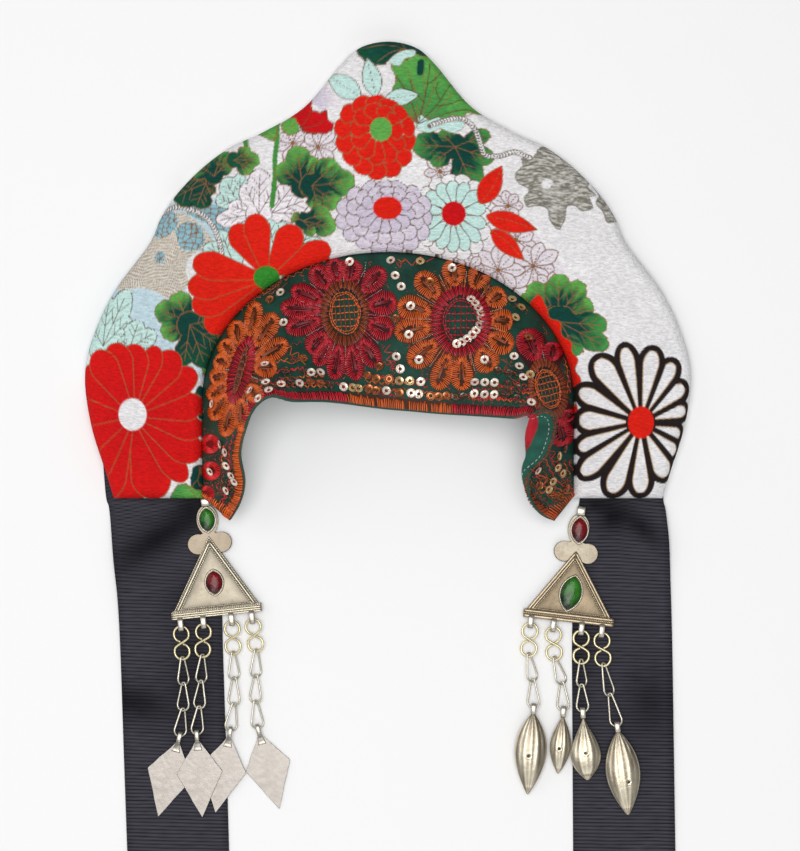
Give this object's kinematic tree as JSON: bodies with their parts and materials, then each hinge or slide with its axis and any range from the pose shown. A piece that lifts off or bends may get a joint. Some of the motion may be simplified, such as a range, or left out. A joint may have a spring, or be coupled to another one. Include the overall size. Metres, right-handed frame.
{
  "type": "kokoshnik",
  "caption": "Padded crest headdress with a floral printed cover, embroidered forehead band, black ribbons and silver pendants with chains, stones and drops.",
  "frame": {"origin": "on the surface that it lies on, under the middle of its bounding box", "axes": "+Z away from the surface, +Y from the ribbon ends to the crest's peak, +X to the viewer's right"},
  "size_m": [0.2958, 0.3984, 0.0567],
  "materials": {
    "printed_crepe": "matt crinkled crepe, printed",
    "embroidered_cloth": "matt, thread embroidery",
    "black_grosgrain": "ribbed, slight sheen",
    "old_silver": "worn silver with patina",
    "green_glass": "polished",
    "red_glass": "polished"
  },
  "bodies": {
    "root": {"crest": "printed_crepe", "forehead_band": "embroidered_cloth", "ribbon_left": "black_grosgrain", "ribbon_right": "black_grosgrain", "pendant_plate_left": "old_silver", "pendant_plate_right": "old_silver", "stone_left_top": "green_glass", "stone_left_main": "red_glass", "stone_right_top": "red_glass", "stone_right_main": "green_glass", "s_link_left_1": "old_silver", "link_left_1_1": "old_silver", "link_left_1_2": "old_silver", "link_left_1_3": "old_silver", "drop_left_1": "old_silver", "s_link_left_2": "old_silver", "link_left_2_1": "old_silver", "link_left_2_2": "old_silver", "link_left_2_3": "old_silver", "drop_left_2": "old_silver", "s_link_left_3": "old_silver", "link_left_3_1": "old_silver", "link_left_3_2": "old_silver", "link_left_3_3": "old_silver", "drop_left_3": "old_silver", "s_link_left_4": "old_silver", "link_left_4_1": "old_silver", "link_left_4_2": "old_silver", "link_left_4_3": "old_silver", "drop_left_4": "old_silver", "s_link_right_1": "old_silver", "link_right_1_1": "old_silver", "link_right_1_2": "old_silver", "drop_right_1": "old_silver", "s_link_right_2": "old_silver", "link_right_2_1": "old_silver", "link_right_2_2": "old_silver", "drop_right_2": "old_silver", "s_link_right_3": "old_silver", "link_right_3_1": "old_silver", "link_right_3_2": "old_silver", "drop_right_3": "old_silver", "s_link_right_4": "old_silver", "link_right_4_1": "old_silver", "link_right_4_2": "old_silver", "drop_right_4": "old_silver"}
  },
  "joints": []
}
